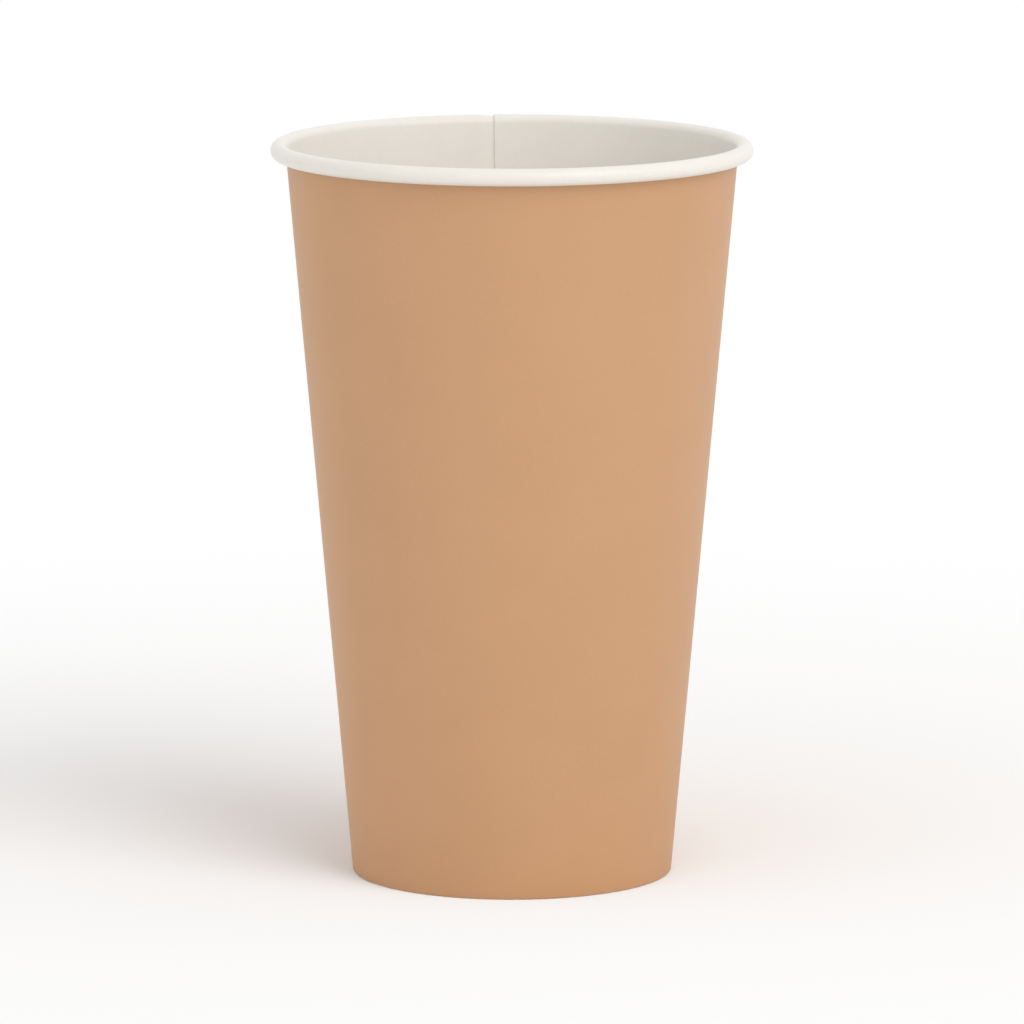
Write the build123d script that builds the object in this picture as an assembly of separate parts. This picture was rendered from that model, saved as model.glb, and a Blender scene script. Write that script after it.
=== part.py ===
from build123d import *
import os
from math import asin, atan2, ceil, cos, degrees, radians, sin, sqrt, tan

# A single-wall paper drinking cup, made the way the real one is: a fan-shaped
# board is wrapped into a cone and sealed to itself along a lapped side seam, its
# top edge is rolled outwards into the rim, and its bottom edge is folded in
# round the skirt of a separate base disc. The board is printed on one face and
# white on the other, so the outward roll shows white above the printed wall.
# Millimetres, +Z up, origin on the table at the cup's own axis.

# Outline of the cup
rim_diameter = 90.0
base_diameter = 60.0
cup_height = 138.0
floor_height = 9.0  # upper face of the base disc

# Boards, and the melted coating left between faces that are sealed together
wall_board = 0.40
base_board = 0.32
seal_film = 0.02

# Rolled rim: the wall board turned outwards until its edge comes back near the wall
roll_diameter = 3.2
roll_turn = 300.0  # degrees
roll_flat = 45.0  # degrees that one flat of its round section turns by, at most

# Side seam, at the back of the cup
seam_direction = 90.0  # degrees round from +X
lap_width = 7.0  # at the rim; the blank's straight sides bring it in towards the foot
lap_step = 0.30  # what the outer lap still adds after it is pressed down
lap_fade = 3.0  # run in which the outer lap comes back down to the cone

# Foot: the wall's hem is folded up inside the skirt of the base disc
hem_clearance = 1.60  # hem edge below the disc
skirt_clearance = 0.60  # skirt edge above the fold of the foot
disc_bevel = 0.70  # where the disc turns down into its skirt

# Flutes that a toothed wheel presses along the hem
flute_pitch = 2.8
flute_depth = 0.16
flute_ridge = 0.03  # depth of the ridges between the flutes
flute_margin = 0.90  # plain band above and below them

# The wall's lean follows from the outline: its printed face starts at the foot,
# and its white face runs into the roll as a tangent.
base_radius = base_diameter / 2
roll_radius = roll_diameter / 2
roll_centre = Vector(rim_diameter / 2 - roll_radius, cup_height - roll_radius)
foot_to_roll = Vector(roll_centre.X - base_radius, roll_centre.Y)
lean = atan2(foot_to_roll.X, foot_to_roll.Y) - asin((roll_radius - wall_board) / foot_to_roll.length)

# Depths below the printed face of the wall, measured square to it
skirt_outer_depth = wall_board + seal_film
skirt_inner_depth = skirt_outer_depth + base_board
hem_white_depth = skirt_inner_depth + seal_film
hem_printed_depth = hem_white_depth + wall_board

skirt_edge_height = wall_board + skirt_clearance
hem_height = floor_height - base_board - hem_clearance

# A bevel this share of a board's thickness outside a sharp fold keeps the thickness
fold_bevel = 2 - sqrt(2)
foot_bevel = wall_board * fold_bevel
disc_inner_bevel = disc_bevel - base_board * fold_bevel

# Angles of the seam round the cup, in degrees
seam_radius = rim_diameter / 2 - roll_diameter
lap_angle = degrees(lap_width / seam_radius)
fade_angle = degrees(lap_fade / seam_radius)
outer_lap_edge = seam_direction - lap_angle / 2
inner_lap_edge = seam_direction + lap_angle / 2
fade_end = inner_lap_edge + fade_angle
open_angle = 360 - lap_angle - fade_angle

def wall_point(depth, height):
    # point of a section that lies `depth` below the wall's printed face
    return Vector(base_radius + height * tan(lean) - depth / cos(lean), height)

def roll_points(radius):
    # from the tangent on the wall, over the top and round, on a circle of this radius
    flats = ceil(roll_turn / roll_flat)
    angles = [radians(180 - roll_turn * k / flats) - lean for k in range(flats + 1)]
    return [roll_centre + Vector(cos(a), sin(a)) * radius for a in angles]

def sheet_section(white_shift, printed_shift):
    # Section of the wall board from the edge of the hem, round the foot, up the
    # wall and round the roll. Each face can stand out from its usual place.
    hem_white = hem_white_depth + white_shift
    hem_printed = hem_printed_depth + printed_shift
    white_face = [
        wall_point(hem_white, hem_height),
        wall_point(hem_white, wall_board),
        wall_point(wall_board - white_shift, wall_board),
        *roll_points(roll_radius - white_shift),
    ]
    printed_face = [
        wall_point(hem_printed, hem_height),
        wall_point(hem_printed, foot_bevel),
        wall_point(hem_printed - foot_bevel, 0),
        wall_point(foot_bevel - printed_shift, 0),
        wall_point(-printed_shift, foot_bevel),
        *roll_points(roll_radius - wall_board - printed_shift),
    ]
    outline = Polyline(*white_face, *reversed(printed_face), close=True)
    return Plane.XZ * make_face(outline)

def turned(shape, angle):
    return Rot(0, 0, angle) * shape

def side_wall():
    plain = sheet_section(0, 0)
    lapped = sheet_section(0, lap_step)
    lifted = sheet_section(lap_step, lap_step)

    single = turned(revolve(plain, Axis.Z, open_angle), fade_end) - flute_wheel()
    lap = turned(revolve(lapped, Axis.Z, lap_angle), outer_lap_edge)
    fade = loft([turned(lifted, inner_lap_edge), turned(plain, fade_end)], ruled=True)
    return single + lap + fade

def flute_wheel():
    # what the toothed wheel presses away along the hem, everywhere but at the seam
    low = wall_board + flute_margin
    high = hem_height - flute_margin
    run = radians(open_angle) * wall_point(hem_printed_depth, low).X
    count = int(run / flute_pitch) - 1
    step = open_angle / (count + 1)
    faces = []
    for height in (low, high):
        ridge = wall_point(hem_printed_depth - flute_ridge, height).X
        flute = wall_point(hem_printed_depth - flute_depth, height).X
        points = [Vector(0, 0, height)]
        for k in range(2 * count + 1):
            tooth = Vector(flute if k % 2 else ridge, 0, height)
            points.append(tooth.rotate(Axis.Z, fade_end + (k + 1) * step / 2))
        faces.append(make_face(Polyline(*points, close=True)))
    return loft(faces, ruled=True)

def base_disc():
    under = floor_height - base_board
    outline = Polyline(
        (0, floor_height),
        wall_point(skirt_outer_depth + disc_bevel, floor_height),
        wall_point(skirt_outer_depth, floor_height - disc_bevel),
        wall_point(skirt_outer_depth, skirt_edge_height),
        wall_point(skirt_inner_depth, skirt_edge_height),
        wall_point(skirt_inner_depth, under - disc_inner_bevel),
        wall_point(skirt_inner_depth + disc_inner_bevel, under),
        (0, under),
        close=True,
    )
    return revolve(Plane.XZ * make_face(outline), Axis.Z)

os.makedirs("parts", exist_ok=True)
export_step(side_wall(), "parts/side_wall.step")
export_step(base_disc(), "parts/base_disc.step")
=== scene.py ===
import bpy
from math import asin, atan2, cos, hypot, pi, radians, sin, tan
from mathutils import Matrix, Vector


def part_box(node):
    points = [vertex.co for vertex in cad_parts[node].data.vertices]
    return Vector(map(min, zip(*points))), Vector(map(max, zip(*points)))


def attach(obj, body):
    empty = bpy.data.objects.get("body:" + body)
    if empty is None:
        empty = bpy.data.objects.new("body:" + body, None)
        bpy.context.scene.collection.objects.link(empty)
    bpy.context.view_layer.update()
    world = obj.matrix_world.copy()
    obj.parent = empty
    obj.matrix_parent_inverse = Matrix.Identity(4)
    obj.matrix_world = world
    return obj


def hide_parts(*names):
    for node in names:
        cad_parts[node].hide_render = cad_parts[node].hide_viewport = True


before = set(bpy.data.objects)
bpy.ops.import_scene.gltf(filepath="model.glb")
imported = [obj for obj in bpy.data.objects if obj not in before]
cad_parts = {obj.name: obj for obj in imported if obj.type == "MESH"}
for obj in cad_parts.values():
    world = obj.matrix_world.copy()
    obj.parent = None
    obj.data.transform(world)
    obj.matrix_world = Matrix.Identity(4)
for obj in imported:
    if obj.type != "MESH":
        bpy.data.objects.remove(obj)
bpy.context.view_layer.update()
print("frame loaded:", ", ".join(sorted(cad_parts)))


def pick(sockets, key):
    if isinstance(key, int):
        return sockets[key]
    return next(s for s in sockets if key in (s.identifier, s.name))


class Wire:
    # an output socket; sums on it add Math nodes to its tree

    def __init__(self, bench, socket):
        self.bench = bench
        self.socket = socket

    def other(self, key):
        return Wire(self.bench, pick(self.socket.node.outputs, key))

    def sum(self, operation, *values):
        return self.bench.node("ShaderNodeMath", {"operation": operation}, dict(enumerate(values)))

    def __add__(self, value):
        return self.sum("ADD", self, value)

    def __radd__(self, value):
        return self.sum("ADD", value, self)

    def __sub__(self, value):
        return self.sum("SUBTRACT", self, value)

    def __rsub__(self, value):
        return self.sum("SUBTRACT", value, self)

    def __mul__(self, value):
        return self.sum("MULTIPLY", self, value)

    def __rmul__(self, value):
        return self.sum("MULTIPLY", value, self)

    def __truediv__(self, value):
        return self.sum("DIVIDE", self, value)

    def __gt__(self, value):
        return self.sum("GREATER_THAN", self, value)

    def __pow__(self, value):
        return self.sum("POWER", self, value)

    def floor(self):
        return self.sum("FLOOR", self)

    def cosine(self):
        return self.sum("COSINE", self)

    def sine(self):
        return self.sum("SINE", self)

    def least(self, value):
        return self.sum("MINIMUM", self, value)

    def most(self, value):
        return self.sum("MAXIMUM", self, value)

    def ramp(self, low, high, start=0.0, end=1.0):
        # eased from start at low to end at high
        return self.bench.node("ShaderNodeMapRange", {"interpolation_type": "SMOOTHSTEP"}, {
            "Value": self, "From Min": low, "From Max": high, "To Min": start, "To Max": end})


class Bench:
    # a node tree in the making

    def __init__(self, tree):
        self.tree = tree
        tree.nodes.clear()

    def node(self, kind, settings=None, inputs=None, output=0):
        made = self.tree.nodes.new(kind)
        for name, value in (settings or {}).items():
            setattr(made, name, value)
        for key, value in (inputs or {}).items():
            socket = pick(made.inputs, key)
            if isinstance(value, Wire):
                self.tree.links.new(value.socket, socket)
            else:
                socket.default_value = value
        return Wire(self, pick(made.outputs, output)) if made.outputs else made

    def vector(self, operation, *values, scale=None):
        inputs = dict(enumerate(values))
        if scale is not None:
            inputs["Scale"] = scale
        return self.node("ShaderNodeVectorMath", {"operation": operation}, inputs)

    def blend(self, share, first, second):
        return self.node("ShaderNodeMix", {"data_type": "RGBA"}, {
            "Factor_Float": share, "A_Color": first, "B_Color": second}, "Result_Color")

    def noise(self, place, scale, detail, rough=0.5):
        return self.node("ShaderNodeTexNoise", {"noise_dimensions": "3D"}, {
            "Vector": place, "Scale": scale, "Detail": detail, "Roughness": rough}, "Fac")


# The whole cup is two boards. Each is drawn as the line of its section, and
# Geometry Nodes carry that line round the axis. Metres, in the CAD's frame.
printKind, whiteKind, cutKind, rawKind = 0, 1, 2, 3     # what a face of the board shows


class Section:
    # The line of a board's section. A point's moves are the ways that it goes as the white
    # or the printed face steps at the seam, or as a flute is pressed, and its give is how
    # far the waviness of the wall carries it.

    def __init__(self, closed=True):
        self.points = []
        self.closed = closed

    def add(self, spot, kind, white=(0, 0), printed=(0, 0), flute=(0, 0), give=0.0):
        self.points.append({"spot": spot, "kind": kind, "give": give,
                            "whiteMove": white, "printedMove": printed, "fluteMove": flute})

    def nextFaceIs(self, kind):
        self.points[-1]["kind"] = kind

    def mesh(self, name):
        points = self.points + [self.points[0]] * self.closed
        spots = [point["spot"] for point in points]
        made = bpy.data.meshes.new(name)
        made.from_pydata([(x, 0, z) for x, z in spots], [(k, k + 1) for k in range(len(points) - 1)], [])
        run = [0.0]
        for before, after in zip(spots, spots[1:]):
            run.append(run[-1] + hypot(after[0] - before[0], after[1] - before[1]))
        self.store(made, "kind", "INT", [point["kind"] for point in points])
        self.store(made, "path", "FLOAT", run)
        self.store(made, "give", "FLOAT", [point["give"] for point in points])
        for title in ("whiteMove", "printedMove", "fluteMove"):
            moves = [point[title] for point in points]
            self.store(made, title, "FLOAT_VECTOR", [value for x, z in moves for value in (x, 0, z)])
        return made

    def store(self, made, title, kind, values):
        attribute = made.attributes.new(title, kind, "POINT")
        attribute.data.foreach_set("vector" if kind == "FLOAT_VECTOR" else "value", values)


def ease(value, low, high):
    share = min(max((value - low) / (high - low), 0.0), 1.0)
    return share * share * (3 - 2 * share)


def spread(start, end, count):
    return [start + (end - start) * k / count for k in range(count + 1)]


# The side wall
wallSize = {
    "baseDiameter": 0.060,
    "board": 0.00040,
    "baseBoard": 0.00032,
    "sealFilm": 0.00002,
    "rollDiameter": 0.0032,
    "rollTurn": radians(300),
    "rollInset": 0.000005,     # keeps the true round of the roll inside the CAD's
    "floorHeight": 0.009,
    "hemClearance": 0.0016,
    "footTop": 0.010,     # the rows of the mesh are closer below this height
    "fluteMargin": 0.0009,
    "fluteRamp": 0.00032,     # height over which a flute runs out
    "flutes": 62,     # steps round the hem; the first and last run out at the seam
    "fluteDepth": 0.00016,
    "ridgeDepth": 0.00003,
    "fluteRunOut": 0.5,     # share of a step in which the wheel's mark dies away at the seam
    "fluteUneven": 0.30,     # share by which one flute may be shallower than another
    "seamDirection": radians(90),
    "lapWidth": 0.007,
    "lapStep": 0.00030,
    "lapFade": 0.003,
    "edgeSlant": 0.00020,     # width of a cut edge that the press has laid over
    "wave": 0.00007,     # how far the rolled board strays from a true cone
    "waveScale": 26.0,
    "waveFrom": (0.012, 0.045),     # heights between which the waviness sets in
    "waveTo": (0.100, 0.130),     # and dies away again
    "seed": 4.0,
}
wallColumns = {"flute": 9, "lap": 17, "fade": 11}     # of the mesh, for each flute, the lap and the fade
wallRows = {     # faces of the mesh along each stretch of the section
    "hem": 4,
    "inside": 22,
    "roll": 40,
    "rollInside": 16,
    "outside": 26,
    "foot": 5,
    "fold": 6,
    "fluteRamp": 4,
    "flute": 5,
}

wallLow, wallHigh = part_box("side_wall")
rimRadius = min(-wallLow.x, -wallLow.y, wallHigh.x, wallHigh.y) - wallSize["rollInset"]
cupHeight = wallHigh.z
board = wallSize["board"]
rollRadius = wallSize["rollDiameter"] / 2
rollCentre = Vector((rimRadius - rollRadius, cupHeight - rollRadius))
footToRoll = rollCentre - Vector((wallSize["baseDiameter"] / 2, 0))
lean = atan2(footToRoll.x, footToRoll.y) - asin((rollRadius - board) / footToRoll.length)
skirtOuter = board + wallSize["sealFilm"]
skirtInner = skirtOuter + wallSize["baseBoard"]
hemWhite = skirtInner + wallSize["sealFilm"]
hemPrinted = hemWhite + board
hemHeight = wallSize["floorHeight"] - wallSize["baseBoard"] - wallSize["hemClearance"]
outward = 1 / cos(lean)
seamRadius = rimRadius - wallSize["rollDiameter"]
lapAngle = wallSize["lapWidth"] / seamRadius
fadeAngle = wallSize["lapFade"] / seamRadius


def wallPoint(depth, height):
    # a point of the section that lies this deep below the printed face of the wall
    return wallSize["baseDiameter"] / 2 + height * tan(lean) - depth / cos(lean), height


def rollPoint(angle, radius):
    return rollCentre.x + cos(angle) * radius, rollCentre.y + sin(angle) * radius


def wallGive(height):
    # the foot and the rim hold the cone true, and only the wall between them strays
    return ease(height, *wallSize["waveFrom"]) * (1 - ease(height, *wallSize["waveTo"]))


def wallSection():
    section = Section()
    rows = wallRows
    rollStart = pi - lean
    rollEnd = rollStart - wallSize["rollTurn"]
    rollFoot = rollPoint(rollStart, rollRadius)[1]

    for height in spread(hemHeight, board, rows["hem"]):     # white face of the hem, against the skirt
        section.add(wallPoint(hemWhite, height), whiteKind, white=(-outward, 0))
    for height in spread(board, rollFoot, rows["inside"])[:-1]:     # white face, inside the cup
        section.add(wallPoint(board, height), whiteKind, white=(outward, 0), give=wallGive(height))
    for angle in spread(rollStart, rollEnd, rows["roll"]):     # and over the roll
        section.add(rollPoint(angle, rollRadius), whiteKind, white=(-cos(angle), -sin(angle)))
    section.nextFaceIs(cutKind)

    inner = rollRadius - board
    for angle in spread(rollEnd, rollStart, rows["rollInside"])[:-1]:     # printed face, inside the roll
        section.add(rollPoint(angle, inner), printKind, printed=(-cos(angle), -sin(angle)))
    footTop = wallSize["footTop"]
    heights = spread(rollPoint(rollStart, inner)[1], footTop, rows["outside"])
    heights += spread(footTop, board, rows["foot"])[1:-1]
    for height in heights:     # printed face of the wall
        section.add(wallPoint(0, height), printKind, printed=(outward, 0), give=wallGive(height))
    for angle in spread(0, pi / 2, rows["fold"]):     # fold of the foot
        depth, height = board - board * cos(angle), board - board * sin(angle)
        section.add(wallPoint(depth, height), printKind, printed=(outward, 0))
    for angle in spread(pi / 2, 0, rows["fold"]):
        depth, height = hemPrinted - board + board * cos(angle), board - board * sin(angle)
        section.add(wallPoint(depth, height), printKind, printed=(-outward, 0))

    low = board + wallSize["fluteMargin"]
    high = hemHeight - wallSize["fluteMargin"]
    ramp = wallSize["fluteRamp"] / 2
    heights = [(board + low - ramp) / 2, *spread(low - ramp, low + ramp, rows["fluteRamp"])]
    heights += spread(low + ramp, high - ramp, rows["flute"])[1:-1]
    heights += [*spread(high - ramp, high + ramp, rows["fluteRamp"]), (high + ramp + hemHeight) / 2]
    for height in heights:     # printed face of the hem, with its flutes
        pressed = ease(height, low - ramp, low + ramp) * (1 - ease(height, high - ramp, high + ramp))
        section.add(wallPoint(hemPrinted, height), printKind, printed=(-outward, 0),
                    flute=(pressed * outward, 0))
    section.add(wallPoint(hemPrinted, hemHeight), cutKind, printed=(-outward, 0))
    return section


# The base disc
discSize = {
    "bend": 0.001195,     # radius where the disc turns down into its skirt
    "skirtEdge": 0.0010,
    "dish": 0.00016,     # sag in the middle
    "puckers": 88.0,     # small folds that the skirt gathers at the bend
    "puckerDepth": 0.000035,
    "puckerUneven": 0.9,
    "seed": 9.0,
}
discColumns = 3     # of the mesh, for each pucker
discRows = {"face": 16, "bend": 10, "skirt": 4}


def discSection():
    section = Section(closed=False)     # from the axis to the axis
    top = wallSize["floorHeight"]
    thick = wallSize["baseBoard"]
    bend = discSize["bend"]
    edge = wallPoint(skirtOuter + bend, top)[0]

    def sag(radius):
        return discSize["dish"] * (1 - min(radius / edge, 1) ** 2) ** 2

    def across(kind, height, radii):
        for radius in radii:
            section.add((radius, height - sag(radius)), kind)

    def bendLine(kind, depth, radius, angles):
        for angle in angles:
            spot = wallPoint(depth + radius - radius * sin(angle), top - bend + radius * cos(angle))
            fold = sin(2 * angle) * (1 if angle < pi / 2 else 0)     # deepest half way round
            section.add(spot, kind, flute=(-fold * sin(angle), -fold * cos(angle)))

    across(whiteKind, top, spread(0, edge, discRows["face"])[:-1])
    bendLine(whiteKind, skirtOuter, bend, spread(0, pi / 2, discRows["bend"]))
    for height in spread(top - bend, discSize["skirtEdge"], discRows["skirt"])[1:]:
        section.add(wallPoint(skirtOuter, height), whiteKind)
    section.nextFaceIs(cutKind)
    for height in spread(discSize["skirtEdge"], top - bend, discRows["skirt"])[:-1]:
        section.add(wallPoint(skirtInner, height), rawKind)
    bendLine(rawKind, skirtInner, bend - thick, spread(pi / 2, 0, discRows["bend"]))
    across(rawKind, top - thick, spread(edge, 0, discRows["face"])[1:])
    return section


# Geometry Nodes: one strip of board, and the wall that is joined from five
stripSize = {
    "flatRadius": 0.040,     # where the board's flat coordinates have its true width
    "unevenScale": 14.0,     # noise round the cup that makes one flute shallower than the next
    "waveRadius": 0.037,     # noise that makes the wall stray, drawn out along the cup
    "waveStretch": 0.55,
    "rampLeast": 0.0001,     # keeps a ramp open on a strip whose flutes don't run out
    "mergeDistance": 0.000001,
    "sharpAngle": radians(40),
}


def newGeometryTree(name, sockets):
    tree = bpy.data.node_groups.new(name, "GeometryNodeTree")
    bench = Bench(tree)
    tree.interface.new_socket("Section", in_out="INPUT", socket_type="NodeSocketGeometry")
    for title, kind, value in sockets:
        socket = tree.interface.new_socket(title, in_out="INPUT", socket_type="NodeSocket" + kind)
        socket.default_value = value
    tree.interface.new_socket("Board", in_out="OUTPUT", socket_type="NodeSocketGeometry")
    return bench, bench.node("NodeGroupInput")


def makeStripTree():
    bench, given = newGeometryTree("boardStrip", (
        ("Columns", "Int", 2), ("Start", "Float", 0.0), ("End", "Float", 1.0),
        ("White Start", "Float", 0.0), ("White End", "Float", 0.0),
        ("Printed Start", "Float", 0.0), ("Printed End", "Float", 0.0),
        ("Flutes", "Float", 1.0), ("Flute Depth", "Float", 0.0), ("Ridge Depth", "Float", 0.0),
        ("Uneven", "Float", 0.0), ("Run Out", "Float", 0.0), ("Wave", "Float", 0.0),
        ("Wave Scale", "Float", 20.0), ("Seed", "Float", 0.0), ("Cut Kind", "Float", -1.0)))
    section = given.other("Section")
    columns = given.other("Columns")
    rows = bench.node("GeometryNodeAttributeDomainSize", {"component": "MESH"}, {"Geometry": section})
    grid = bench.node("GeometryNodeMeshGrid", None, {
        "Size X": 1.0, "Size Y": 1.0, "Vertices X": columns, "Vertices Y": rows})
    index = bench.node("GeometryNodeInputIndex")
    column = ((index + 0.5) / rows).floor()     # the half keeps it clear of rounding
    row = index - column * rows
    share = column / (columns - 1)
    turn = given.other("End") - given.other("Start")
    angle = given.other("Start") + turn * share

    def at(kind, field, where):
        return bench.node("GeometryNodeSampleIndex", {"data_type": kind, "domain": "POINT"}, {
            "Geometry": section, "Value": field, "Index": where})

    def named(title, kind, where=row):
        field = bench.node("GeometryNodeInputNamedAttribute", {"data_type": kind}, {"Name": title})
        return at(kind, field, where)

    # each face of the board stands out from its usual place by its own shift
    eased = share.ramp(0.0, 1.0)
    whiteStart = given.other("White Start")
    white = whiteStart + (given.other("White End") - whiteStart) * eased
    printedStart = given.other("Printed Start")
    printed = printedStart + (given.other("Printed End") - printedStart) * eased

    # flutes, each a little shallower or deeper, that run out at both ends of the strip
    phase = share * given.other("Flutes")
    runOut = phase.least(given.other("Flutes") - phase).ramp(
        given.other("Run Out") * 0.5 - stripSize["rampLeast"], given.other("Run Out"))
    ring = bench.node("ShaderNodeCombineXYZ", None, {
        0: angle.cosine(), 1: angle.sine(), 2: given.other("Seed")})
    odd = bench.noise(ring, stripSize["unevenScale"], 1.0)
    groove = (0.5 + 0.5 * (phase * (2 * pi)).cosine()) ** 2 * (1 - given.other("Uneven") * odd)
    ridge = given.other("Ridge Depth")
    depth = (ridge + (given.other("Flute Depth") - ridge) * groove) * runOut

    spot = at("FLOAT_VECTOR", bench.node("GeometryNodeInputPosition"), row)
    for title, size in (("whiteMove", white), ("printedMove", printed), ("fluteMove", depth)):
        moved = bench.vector("SCALE", named(title, "FLOAT_VECTOR"), scale=size)
        spot = bench.vector("ADD", spot, moved)
    apart = bench.node("ShaderNodeSeparateXYZ", None, {0: spot})
    height = apart.other("Z")
    waveSpot = bench.node("ShaderNodeCombineXYZ", None, {
        0: angle.cosine() * stripSize["waveRadius"],
        1: angle.sine() * stripSize["waveRadius"],
        2: height * stripSize["waveStretch"] + given.other("Seed")})
    stray = bench.noise(waveSpot, given.other("Wave Scale"), 1.0) - 0.5
    radius = apart.other("X") + named("give", "FLOAT") * given.other("Wave") * 2 * stray
    place = bench.node("ShaderNodeCombineXYZ", None, {
        0: radius * angle.cosine(), 1: radius * angle.sine(), 2: height})
    strip = bench.node("GeometryNodeSetPosition", None, {"Geometry": grid, "Position": place})

    # how deep the wheel has pressed here, for the painted shade in the flutes
    pressed = bench.vector("LENGTH", named("fluteMove", "FLOAT_VECTOR")).other("Value") * depth
    strip = bench.node("GeometryNodeStoreNamedAttribute", {"data_type": "FLOAT", "domain": "POINT"}, {
        "Geometry": strip, "Name": "pressed", "Value": pressed})

    # the board's own flat coordinates, round and along it, worked out at the points
    flat = bench.node("ShaderNodeCombineXYZ", None, {
        0: angle * stripSize["flatRadius"], 1: named("path", "FLOAT"), 2: 0.0})
    flat = bench.node("GeometryNodeFieldOnDomain", {"data_type": "FLOAT_VECTOR", "domain": "POINT"}, {
        0: flat})
    strip = bench.node("GeometryNodeStoreNamedAttribute", {"data_type": "FLOAT2", "domain": "CORNER"}, {
        "Geometry": strip, "Name": "board", "Value": flat})

    faceRow = index - ((index + 0.5) / (rows - 1)).floor() * (rows - 1)
    kind = named("kind", "INT", faceRow)
    stepped = kind.sum("COMPARE", kind, given.other("Cut Kind"), 0.5)
    kind = kind + (cutKind - kind) * stepped     # in a step of the seam, that face shows the board's core
    strip = bench.node("GeometryNodeStoreNamedAttribute", {"data_type": "INT", "domain": "FACE"}, {
        "Geometry": strip, "Name": "kind", "Value": kind})
    strip = bench.node("GeometryNodeFlipFaces", None, {"Mesh": strip})
    bench.node("NodeGroupOutput", None, {0: strip})
    return bench.tree


def finishTree(bench, sheet, materials):
    # close the seams, shade, and give each kind of face its own material
    sheet = bench.node("GeometryNodeMergeByDistance", None, {
        "Geometry": sheet, "Distance": stripSize["mergeDistance"]})
    bend = bench.node("GeometryNodeInputMeshEdgeAngle")
    sheet = bench.node("GeometryNodeSetShadeSmooth", {"domain": "FACE"}, {
        "Geometry": sheet, "Shade Smooth": True})
    sheet = bench.node("GeometryNodeSetShadeSmooth", {"domain": "EDGE"}, {
        "Geometry": sheet, "Selection": bend > stripSize["sharpAngle"], "Shade Smooth": False})
    sheet = bench.node("GeometryNodeRealizeInstances", None, {"Geometry": sheet})
    kind = bench.node("GeometryNodeInputNamedAttribute", {"data_type": "INT"}, {"Name": "kind"})
    for number, material in materials.items():
        inputs = {"Geometry": sheet, "Material": material}
        if number != min(materials):     # the first goes everywhere, the others over it
            inputs["Selection"] = bench.node("FunctionNodeCompare", {
                "data_type": "INT", "operation": "EQUAL"}, {"A_INT": kind, "B_INT": number})
        sheet = bench.node("GeometryNodeSetMaterial", None, inputs)
    bench.node("NodeGroupOutput", None, {0: sheet})


def makeWallTree(stripTree, materials):
    bench, given = newGeometryTree("foldedWall", (
        ("Seam Direction", "Float", 0.0), ("Lap Angle", "Float", 0.1), ("Fade Angle", "Float", 0.1),
        ("Edge Angle", "Float", 0.0), ("Lap Step", "Float", 0.0), ("Flutes", "Int", 60),
        ("Columns Per Flute", "Int", 8), ("Lap Columns", "Int", 9), ("Fade Columns", "Int", 9),
        ("Flute Depth", "Float", 0.0), ("Ridge Depth", "Float", 0.0), ("Run Out", "Float", 0.5),
        ("Uneven", "Float", 0.0), ("Wave", "Float", 0.0), ("Wave Scale", "Float", 20.0),
        ("Seed", "Float", 0.0)))
    section = given.other("Section")
    lapStart = given.other("Seam Direction") - given.other("Lap Angle") / 2
    lapEnd = given.other("Seam Direction") + given.other("Lap Angle") / 2
    fadeEnd = lapEnd + given.other("Fade Angle")
    step = given.other("Lap Step")
    shared = {title: given.other(title) for title in ("Wave", "Wave Scale", "Seed")}

    def strip(start, end, columns, **extra):
        inputs = {"Section": section, "Start": start, "End": end, "Columns": columns, **shared}
        inputs.update({title.replace("_", " "): value for title, value in extra.items()})
        return bench.node("GeometryNodeGroup", {"node_tree": stripTree}, inputs)

    columns = given.other("Flutes") * given.other("Columns Per Flute") + 1
    single = strip(fadeEnd, lapStart + 2 * pi, columns,
                   Flutes=given.other("Flutes"), Flute_Depth=given.other("Flute Depth"),
                   Ridge_Depth=given.other("Ridge Depth"), Run_Out=given.other("Run Out"),
                   Uneven=given.other("Uneven"))
    edge = given.other("Edge Angle")
    outerEdge = strip(lapStart, lapStart + edge, 2, Printed_End=step, Cut_Kind=float(printKind))
    lap = strip(lapStart + edge, lapEnd - edge, given.other("Lap Columns"),
                Printed_Start=step, Printed_End=step)
    innerEdge = strip(lapEnd - edge, lapEnd, 2, White_End=step, Printed_Start=step, Printed_End=step,
                      Cut_Kind=float(whiteKind))
    fade = strip(lapEnd, fadeEnd, given.other("Fade Columns"), White_Start=step, Printed_Start=step)
    joined = bench.node("GeometryNodeJoinGeometry")
    for part in (fade, innerEdge, lap, outerEdge, single):
        bench.tree.links.new(part.socket, joined.socket.node.inputs[0])
    finishTree(bench, joined, materials)
    return bench.tree


def makeDiscTree(stripTree, materials):
    bench, given = newGeometryTree("baseDisc", (
        ("Columns", "Int", 128), ("Puckers", "Float", 60.0), ("Pucker Depth", "Float", 0.0),
        ("Uneven", "Float", 0.0), ("Seed", "Float", 0.0)))
    disc = bench.node("GeometryNodeGroup", {"node_tree": stripTree}, {
        "Section": given.other("Section"), "Columns": given.other("Columns"),
        "Start": 0.0, "End": 2 * pi, "Flutes": given.other("Puckers"),
        "Flute Depth": given.other("Pucker Depth"), "Uneven": given.other("Uneven"),
        "Seed": given.other("Seed")})
    finishTree(bench, disc, materials)
    return bench.tree


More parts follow.
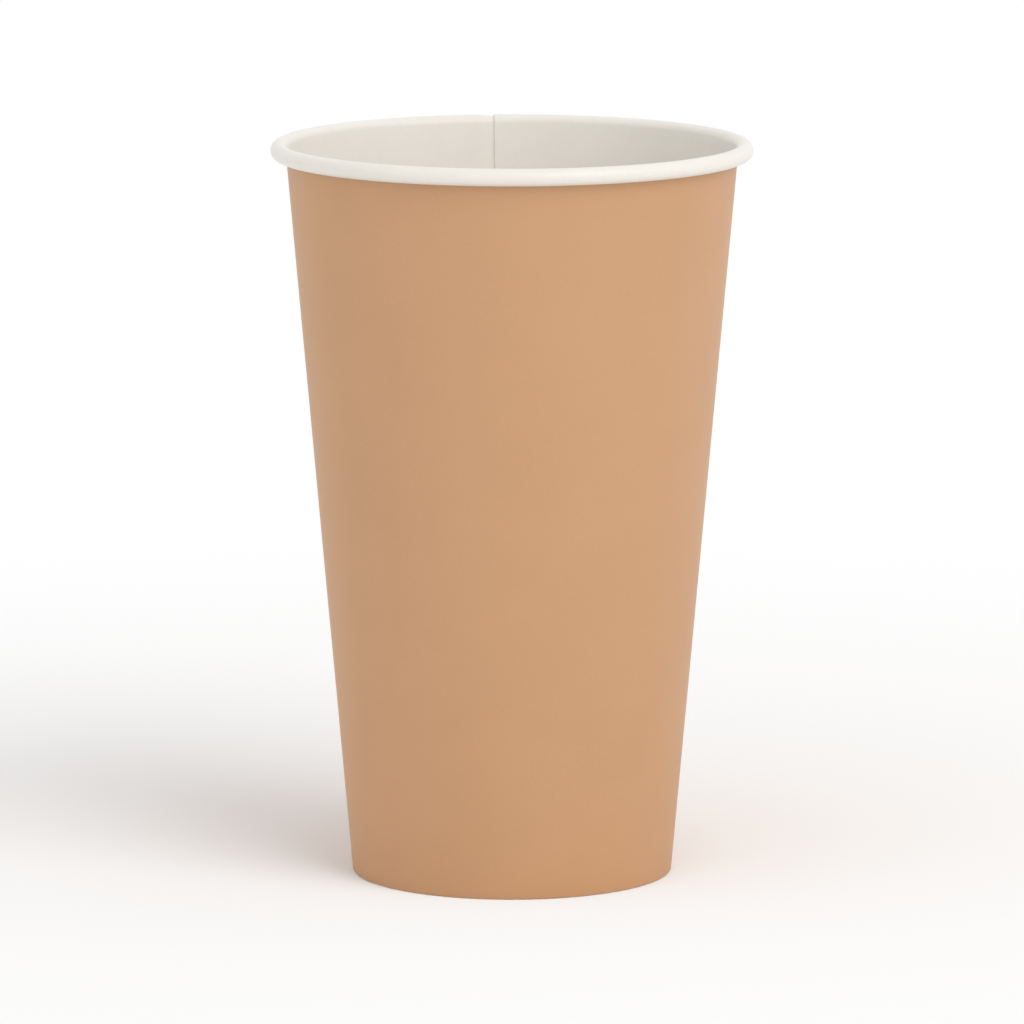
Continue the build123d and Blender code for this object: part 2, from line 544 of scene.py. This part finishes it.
def makePiece(name, section, tree, values):
    holder = bpy.data.objects.new(name, section.mesh(name))
    bpy.context.scene.collection.objects.link(holder)
    modifier = holder.modifiers.new("shape", "NODES")
    modifier.node_group = tree
    for item in tree.interface.items_tree:
        if item.in_out == "INPUT" and item.name in values:
            modifier[item.identifier] = values[item.name]
    graph = bpy.context.evaluated_depsgraph_get()
    made = bpy.data.meshes.new_from_object(holder.evaluated_get(graph), depsgraph=graph)
    holder.modifiers.remove(modifier)
    bare = holder.data
    holder.data = made
    bpy.data.meshes.remove(bare)
    made.name = name
    made.attributes.remove(made.attributes["kind"])
    if made.materials[0] is None:     # the empty slot that the grid starts with
        made.materials.pop(index=0)
    made.calc_loop_triangles()
    print(name, "made:", len(made.loop_triangles), "triangles")
    return holder


# Finishes. Tan print outside, white coating inside, the board's core where it is cut.
# A noise is its scale, detail and roughness (0.5 where it isn't given), and a span is the
# values of a noise over which a colour comes in.

def newMaterial(name):
    material = bpy.data.materials.new(name)
    material.use_nodes = True
    bench = Bench(material.node_tree)
    flat = bench.node("ShaderNodeUVMap", {"uv_map": "board"})
    place = bench.node("ShaderNodeTexCoord", output="Object")
    return material, bench, flat, place


def closeMaterial(bench, colour, rough, bump, specular):
    shader = bench.node("ShaderNodeBsdfPrincipled", None, {
        "Base Color": colour, "Roughness": rough, "Normal": bump, "Specular IOR Level": specular})
    bench.node("ShaderNodeOutputMaterial", None, {"Surface": shader})


def stretched(bench, flat, across, along):
    # flat board coordinates, finer one way than the other
    return bench.vector("MULTIPLY", flat, (across, along, 1.0))


fibreLook = {
    "offGrain": (0.38, -0.31),     # radians, for each of the two layers
    "noise": (1.0, 3.0, 0.6),
}


def boardFibre(bench, flat, across, along):
    # fibres that lie mostly along the board's grain, in two layers that cross
    layers = []
    for offGrain in fibreLook["offGrain"]:
        turned = bench.node("ShaderNodeVectorRotate", {"rotation_type": "Z_AXIS"}, {
            "Vector": flat, "Angle": offGrain})
        layers.append(bench.noise(stretched(bench, turned, across, along), *fibreLook["noise"]))
    return layers[0].most(layers[1])


def layered(layers, shares):
    # layers of noise, added up by their shares
    total = layers[0] * shares[0]
    for layer, share in zip(layers[1:], shares[1:]):
        total = total + layer * share
    return total


def unevenly(level, layers, swings):
    # a level that each layer of noise swings to both sides
    for layer, swing in zip(layers, swings):
        level = level + (layer - 0.5) * swing
    return level


def reliefOf(bench, height, distance, **more):
    return bench.node("ShaderNodeBump", None, {
        "Strength": 1.0, "Distance": distance, "Height": height, **more})


def makeTanPrint():
    look = {
        "ink": (0.632, 0.356, 0.186, 1),
        "inkDeep": (0.602, 0.338, 0.174, 1),
        "inkThin": (0.690, 0.405, 0.228, 1),     # where the ink lies thin on the fibres
        "inkFluteShade": (0.520, 0.272, 0.130, 1),     # painted shade in the flutes, partly the ink pressed darker there
        "bareBoard": (0.80, 0.70, 0.57, 1),
        "cloud": (60.0, 2.0),
        "cloudSpan": (0.25, 0.75),
        "mottle": (1500.0, 3.0, 0.6),
        "mottleStretch": (1.0, 0.85),
        "mottleSpan": (0.30, 0.70),
        "fibreScale": (6000.0, 1300.0),
        "thinSpan": (0.60, 0.80),
        "thinShare": 0.35,
        "fluteShadeDepths": (0.00005, 0.00014),     # depths of a flute over which the painted shade darkens the ink
        "fluteShadeShare": 0.8,
        "wearHeight": 0.00045,     # the fold of the foot wears through to the board first
        "wear": (1300.0, 4.0, 0.7),
        "wearSpan": (0.42, 0.68),
        "wearShare": 0.55,
        "rough": 0.50,
        "roughSwing": (0.14, 0.10),     # by the mottle and the fibre
        "roughWorn": 0.2,     # that much rougher where it is worn
        "bump": 0.000010,
        "bumpShares": (0.5, 0.8, 0.6),     # of the cloud, the mottle and the fibre
        "specular": 0.42,
    }
    material, bench, flat, place = newMaterial("tanPrint")
    cloud = bench.noise(place, *look["cloud"])
    mottle = bench.noise(stretched(bench, flat, *look["mottleStretch"]), *look["mottle"])
    fibre = boardFibre(bench, flat, *look["fibreScale"])
    colour = bench.blend(cloud.ramp(*look["cloudSpan"]) * 0.5 + mottle.ramp(*look["mottleSpan"]) * 0.5,
                         look["inkDeep"], look["ink"])
    colour = bench.blend(fibre.ramp(*look["thinSpan"]) * look["thinShare"], colour, look["inkThin"])
    pressed = bench.node("ShaderNodeAttribute", {"attribute_name": "pressed"}, output="Fac")
    pressed = pressed.ramp(*look["fluteShadeDepths"])
    # the deeper the flute, the darker the ink: painted shade in the grooves, partly the ink pressed
    # darker by the wheel
    colour = bench.blend(pressed * look["fluteShadeShare"], colour, look["inkFluteShade"])
    height = bench.node("ShaderNodeSeparateXYZ", None, {0: place}, "Z")
    patches = bench.noise(place, *look["wear"]).ramp(*look["wearSpan"])
    rub = height.ramp(0.0, look["wearHeight"], 1.0, 0.0) * patches
    colour = bench.blend(rub * look["wearShare"], colour, look["bareBoard"])
    rough = unevenly(look["rough"], (mottle, fibre), look["roughSwing"]) + rub * look["roughWorn"]
    bump = reliefOf(bench, layered((cloud, mottle, fibre), look["bumpShares"]), look["bump"])
    closeMaterial(bench, colour, rough, bump, look["specular"])
    return material


def makeWhiteCoat():
    look = {
        "white": (0.893, 0.862, 0.800, 1),
        "shade": (0.872, 0.838, 0.773, 1),
        "cloud": (90.0, 3.0, 0.55),
        "mottle": (700.0, 3.0, 0.6),
        "mottleStretch": (1.0, 0.7),
        "fibreScale": (5200.0, 1200.0),
        "whiteShares": (0.5, 0.5),     # of the cloud and the mottle
        "whiteSpan": (0.32, 0.70),
        "rough": 0.34,
        "roughSwing": (0.14, 0.08),     # by the mottle and the fibre
        "bump": 0.000014,
        "bumpShares": (0.5, 0.8, 0.5),     # of the cloud, the mottle and the fibre
        "crimp": 0.000030,     # faint creases that the roll gathers across it
        "crimpStretch": (2100.0, 260.0),
        "crimpNoise": (1.0, 3.0, 0.6),
        "crimpDepths": (0.0036, 0.0024),     # below the rim, where they set in
        "specular": 0.5,
    }
    material, bench, flat, place = newMaterial("whiteCoat")
    cloud = bench.noise(place, *look["cloud"])
    mottle = bench.noise(stretched(bench, flat, *look["mottleStretch"]), *look["mottle"])
    fibre = boardFibre(bench, flat, *look["fibreScale"])
    white = layered((cloud, mottle), look["whiteShares"]).ramp(*look["whiteSpan"])
    colour = bench.blend(white, look["shade"], look["white"])
    rough = unevenly(look["rough"], (mottle, fibre), look["roughSwing"])
    height = bench.node("ShaderNodeSeparateXYZ", None, {0: place}, "Z")
    onRoll = height.ramp(*(cupHeight - depth for depth in look["crimpDepths"]))
    crease = bench.noise(stretched(bench, flat, *look["crimpStretch"]), *look["crimpNoise"])
    bump = reliefOf(bench, layered((cloud, mottle, fibre), look["bumpShares"]), look["bump"])
    bump = reliefOf(bench, crease * onRoll, look["crimp"], Normal=bump)
    closeMaterial(bench, colour, rough, bump, look["specular"])
    return material


def makeCutEdge():
    look = {
        "core": (0.80, 0.745, 0.63, 1),
        "fibre": (0.90, 0.87, 0.79, 1),
        "fuzz": (5200.0, 4.0, 0.7),
        "ply": (1500.0, 2.0),
        "fibreShares": (0.6, 0.4),     # of the fuzz and the plies
        "fibreSpan": (0.35, 0.65),
        "rough": 0.90,
        "fuzzSheen": 0.08,     # that much less rough on the fuzz
        "bump": 0.00004,
        "specular": 0.3,
    }
    material, bench, flat, place = newMaterial("cutEdge")
    fuzz = bench.noise(place, *look["fuzz"])
    ply = bench.noise(place, *look["ply"])
    fibre = layered((fuzz, ply), look["fibreShares"]).ramp(*look["fibreSpan"])
    colour = bench.blend(fibre, look["core"], look["fibre"])
    rough = look["rough"] - fuzz * look["fuzzSheen"]
    closeMaterial(bench, colour, rough, reliefOf(bench, fuzz, look["bump"]), look["specular"])
    return material


def makeRawBoard():
    look = {
        "board": (0.815, 0.770, 0.675, 1),
        "dull": (0.765, 0.712, 0.606, 1),
        "cloud": (160.0, 4.0, 0.6),
        "fibre": (1.0, 4.0, 0.7),
        "fibreStretch": (3800.0, 900.0, 900.0),
        "boardShares": (0.6, 0.4),     # of the cloud and the fibre
        "boardSpan": (0.34, 0.68),
        "rough": 0.84,
        "roughSwing": 0.12,     # by the fibre
        "bump": 0.00003,
        "bumpShares": (0.4, 0.6),     # of the cloud and the fibre
        "specular": 0.3,
    }
    material, bench, flat, place = newMaterial("rawBoard")
    cloud = bench.noise(place, *look["cloud"])
    fibre = bench.noise(bench.vector("MULTIPLY", place, look["fibreStretch"]), *look["fibre"])
    clean = layered((cloud, fibre), look["boardShares"]).ramp(*look["boardSpan"])
    colour = bench.blend(clean, look["dull"], look["board"])
    rough = unevenly(look["rough"], (fibre,), (look["roughSwing"],))
    bump = reliefOf(bench, layered((cloud, fibre), look["bumpShares"]), look["bump"])
    closeMaterial(bench, colour, rough, bump, look["specular"])
    return material


tanPrint = makeTanPrint()
whiteCoat = makeWhiteCoat()
cutEdge = makeCutEdge()
rawBoard = makeRawBoard()
print("finishes ready")

# The two pieces

stripTree = makeStripTree()
wallMaterials = {printKind: tanPrint, whiteKind: whiteCoat, cutKind: cutEdge}
cupWall = makePiece("cup_wall", wallSection(), makeWallTree(stripTree, wallMaterials), {
    "Seam Direction": wallSize["seamDirection"],
    "Lap Angle": lapAngle,
    "Fade Angle": fadeAngle,
    "Edge Angle": wallSize["edgeSlant"] / seamRadius,
    "Lap Step": wallSize["lapStep"],
    "Flutes": wallSize["flutes"],
    "Columns Per Flute": wallColumns["flute"],
    "Lap Columns": wallColumns["lap"],
    "Fade Columns": wallColumns["fade"],
    "Flute Depth": wallSize["fluteDepth"],
    "Ridge Depth": wallSize["ridgeDepth"],
    "Run Out": wallSize["fluteRunOut"],
    "Uneven": wallSize["fluteUneven"],
    "Wave": wallSize["wave"],
    "Wave Scale": wallSize["waveScale"],
    "Seed": wallSize["seed"],
})
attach(cupWall, "root")
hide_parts("side_wall")

discMaterials = {whiteKind: whiteCoat, cutKind: cutEdge, rawKind: rawBoard}
cupBase = makePiece("cup_base", discSection(), makeDiscTree(stripTree, discMaterials), {
    "Columns": discColumns * round(discSize["puckers"]) + 1,
    "Puckers": discSize["puckers"],
    "Pucker Depth": discSize["puckerDepth"],
    "Uneven": discSize["puckerUneven"],
    "Seed": discSize["seed"],
})
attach(cupBase, "root")
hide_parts("base_disc")

# Floor, light and camera

floorSize = {
    "radius": 6.0,
    "opening": 0.0297,     # under the cup's foot, so that its underside is lit from below
    "rings": (0.1, 0.4, 1.5),
    "segments": 360,
    "albedo": 0.94,
    "litTo": 0.06,     # the floor is lit as it is up to here, and plain white beyond whiteFrom
    "whiteFrom": 0.42,
}


def openingRadius(turn):
    # the opening stands out with the foot where the seam laps
    lapStart = wallSize["seamDirection"] - lapAngle / 2
    lapEnd = wallSize["seamDirection"] + lapAngle / 2
    lapped = (1 - ease(turn, lapEnd, lapEnd + fadeAngle)) * (turn > lapStart)
    return floorSize["opening"] + wallSize["lapStep"] * lapped


def backgroundRays(bench):
    # rays that should see the plain white background
    path = bench.node("ShaderNodeLightPath", output="Is Camera Ray")
    seen = path.most(path.other("Is Glossy Ray"))
    return seen.most(path.other("Is Transmission Ray"))


def makeFloor():
    material = bpy.data.materials.new("paleFloor")
    material.use_nodes = True
    bench = Bench(material.node_tree)
    place = bench.node("ShaderNodeTexCoord", output="Object")
    distance = bench.vector("LENGTH", place).other("Value")
    plain = distance.ramp(floorSize["litTo"], floorSize["whiteFrom"]) * backgroundRays(bench)
    shade = floorSize["albedo"]
    lit = bench.node("ShaderNodeBsdfDiffuse", None, {"Color": (shade, shade, shade, 1), "Roughness": 1.0})
    white = bench.node("ShaderNodeEmission", None, {"Color": (1, 1, 1, 1), "Strength": 1.0})
    surface = bench.node("ShaderNodeMixShader", None, {0: plain, 1: lit, 2: white})
    # seen from below it isn't there
    below = bench.node("ShaderNodeNewGeometry", output="Backfacing")
    clear = bench.node("ShaderNodeBsdfTransparent")
    surface = bench.node("ShaderNodeMixShader", None, {0: below, 1: surface, 2: clear})
    bench.node("ShaderNodeOutputMaterial", None, {"Surface": surface})

    count = floorSize["segments"]
    turns = spread(0, 2 * pi, count)[:-1]
    radii = [[openingRadius(turn) for turn in turns]]
    radii += [[radius] * count for radius in (*floorSize["rings"], floorSize["radius"])]
    points = [(r * cos(turn), r * sin(turn), 0) for ring in radii for r, turn in zip(ring, turns)]
    faces = []
    for ring in range(len(radii) - 1):
        for k in range(count):
            a, b = ring * count + k, ring * count + (k + 1) % count
            faces.append((a, a + count, b + count, b))
    mesh = bpy.data.meshes.new("floor")
    mesh.from_pydata(points, [], faces)
    mesh.materials.append(material)
    floor = bpy.data.objects.new("floor", mesh)
    bpy.context.scene.collection.objects.link(floor)


worldSize = {"above": 0.80, "below": 0.42, "horizon": (-0.05, 0.0)}     # how bright, and from where
keyLamp = {"place": (1.25, -1.45, 1.35), "aim": (0, 0, 0.07), "size": 1.9, "power": 16.0}
footLamp = {"place": (1.15, -0.60, -0.85), "aim": (0, 0, 0.005), "size": 0.30, "power": 15.0}
lampColour = (1.0, 0.99, 0.97)


def makeWorld():
    above, below = worldSize["above"], worldSize["below"]
    world = bpy.data.worlds.new("studio")
    world.use_nodes = True
    bpy.context.scene.world = world
    bench = Bench(world.node_tree)
    direction = bench.node("ShaderNodeTexCoord", output="Generated")
    level = bench.node("ShaderNodeSeparateXYZ", None, {0: direction}, "Z")
    level = level.ramp(*worldSize["horizon"], below, above)
    strength = level + backgroundRays(bench) * (1 - level)
    light = bench.node("ShaderNodeBackground", None, {"Color": (1, 1, 1, 1), "Strength": strength})
    bench.node("ShaderNodeOutputWorld", None, {"Surface": light})


def makeLamp(name, lampSize):
    lamp = bpy.data.lights.new(name, "AREA")
    lamp.shape = "DISK"
    lamp.size = lampSize["size"]
    lamp.energy = lampSize["power"]
    lamp.color = lampColour
    holder = bpy.data.objects.new(name, lamp)
    holder.location = lampSize["place"]
    beam = Vector(lampSize["aim"]) - Vector(lampSize["place"])
    holder.rotation_euler = beam.to_track_quat("-Z", "Y").to_euler()
    bpy.context.scene.collection.objects.link(holder)


makeFloor()
makeWorld()
makeLamp("key", keyLamp)
makeLamp("under", footLamp)     # shines only through the floor's opening

cameraSize = {
    "lens": 300.0,
    "sensor": 36.0,
    "distance": 1.60,
    "elevation": radians(9.2),
    "aim": 0.0680,     # height that it looks at
    "clipEnd": 50.0,
}
aim = Vector((0, 0, cameraSize["aim"]))
back = Vector((0, -cos(cameraSize["elevation"]), sin(cameraSize["elevation"])))
lens = bpy.data.cameras.new("camera")
lens.lens = cameraSize["lens"]
lens.sensor_width = cameraSize["sensor"]
lens.clip_end = cameraSize["clipEnd"]
camera = bpy.data.objects.new("camera", lens)
camera.location = aim + back * cameraSize["distance"]
camera.rotation_euler = (-back).to_track_quat("-Z", "Y").to_euler()
bpy.context.scene.collection.objects.link(camera)
bpy.context.scene.camera = camera
bpy.context.scene.view_settings.view_transform = "Standard"
print("floor, light and camera ready")
